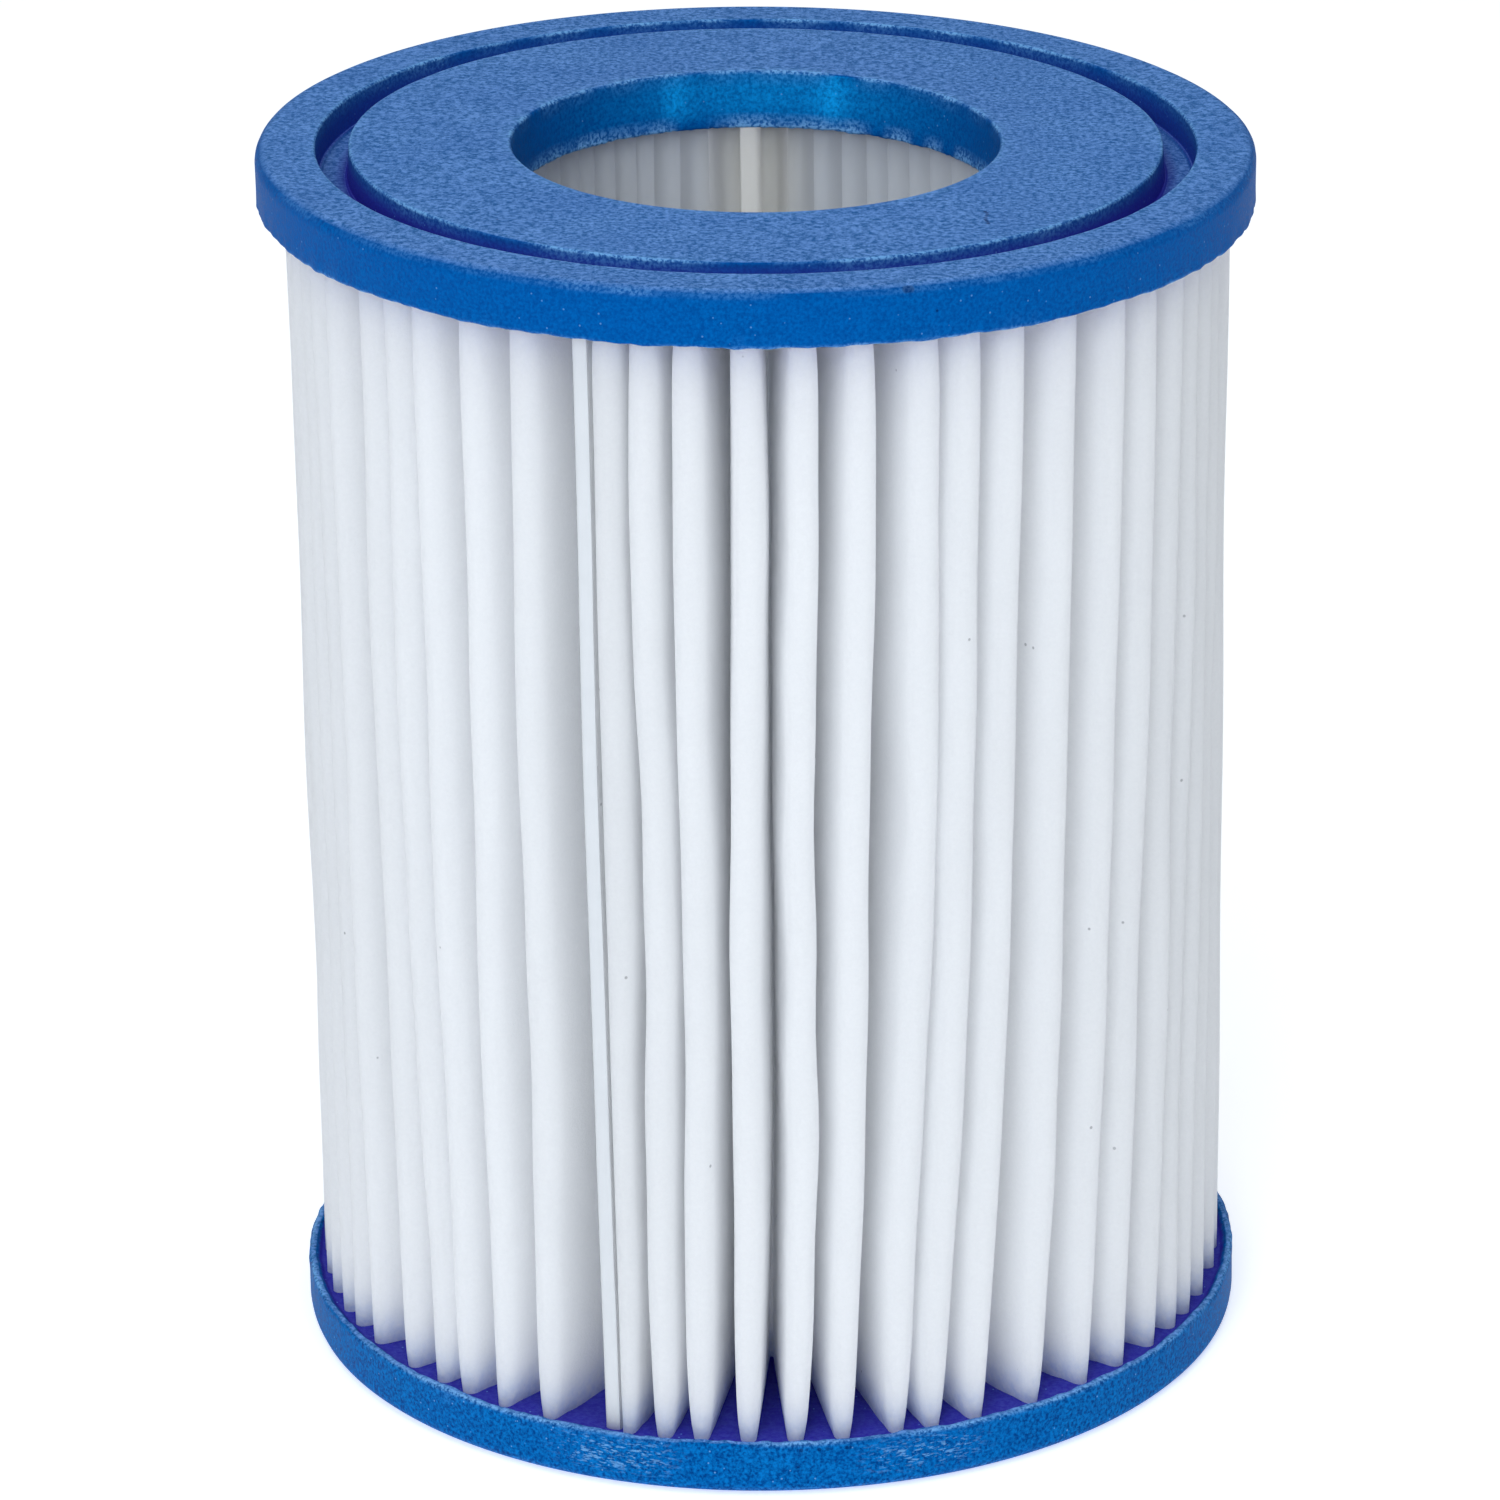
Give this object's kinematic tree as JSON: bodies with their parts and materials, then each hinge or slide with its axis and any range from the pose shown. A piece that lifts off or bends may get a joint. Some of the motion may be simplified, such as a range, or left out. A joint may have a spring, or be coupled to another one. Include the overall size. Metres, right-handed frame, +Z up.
{
  "type": "filter cartridge",
  "caption": "Cylindrical pleated filter cartridge for a small pool or spa pump: two cast end caps with a ring groove and a through bore, a white pleated strip and a perforated core.",
  "frame": {"origin": "centre of the lower end cap's flat outer face, on the cartridge's axis", "axes": "+Z up along the cartridge's axis; -Y towards the viewer at the front; the strip's seam is 19 degrees from -Y towards -X"},
  "size_m": [0.106, 0.106, 0.136],
  "materials": {
    "end_cap": "satin",
    "filter_media": "matte",
    "seam_glue": "satin",
    "core": "satin"
  },
  "bodies": {
    "root": {"top_end_cap": "end_cap", "bottom_end_cap": "end_cap", "pleated_media": "filter_media", "seam_glue_film": "seam_glue", "core_tube": "core"}
  },
  "joints": []
}
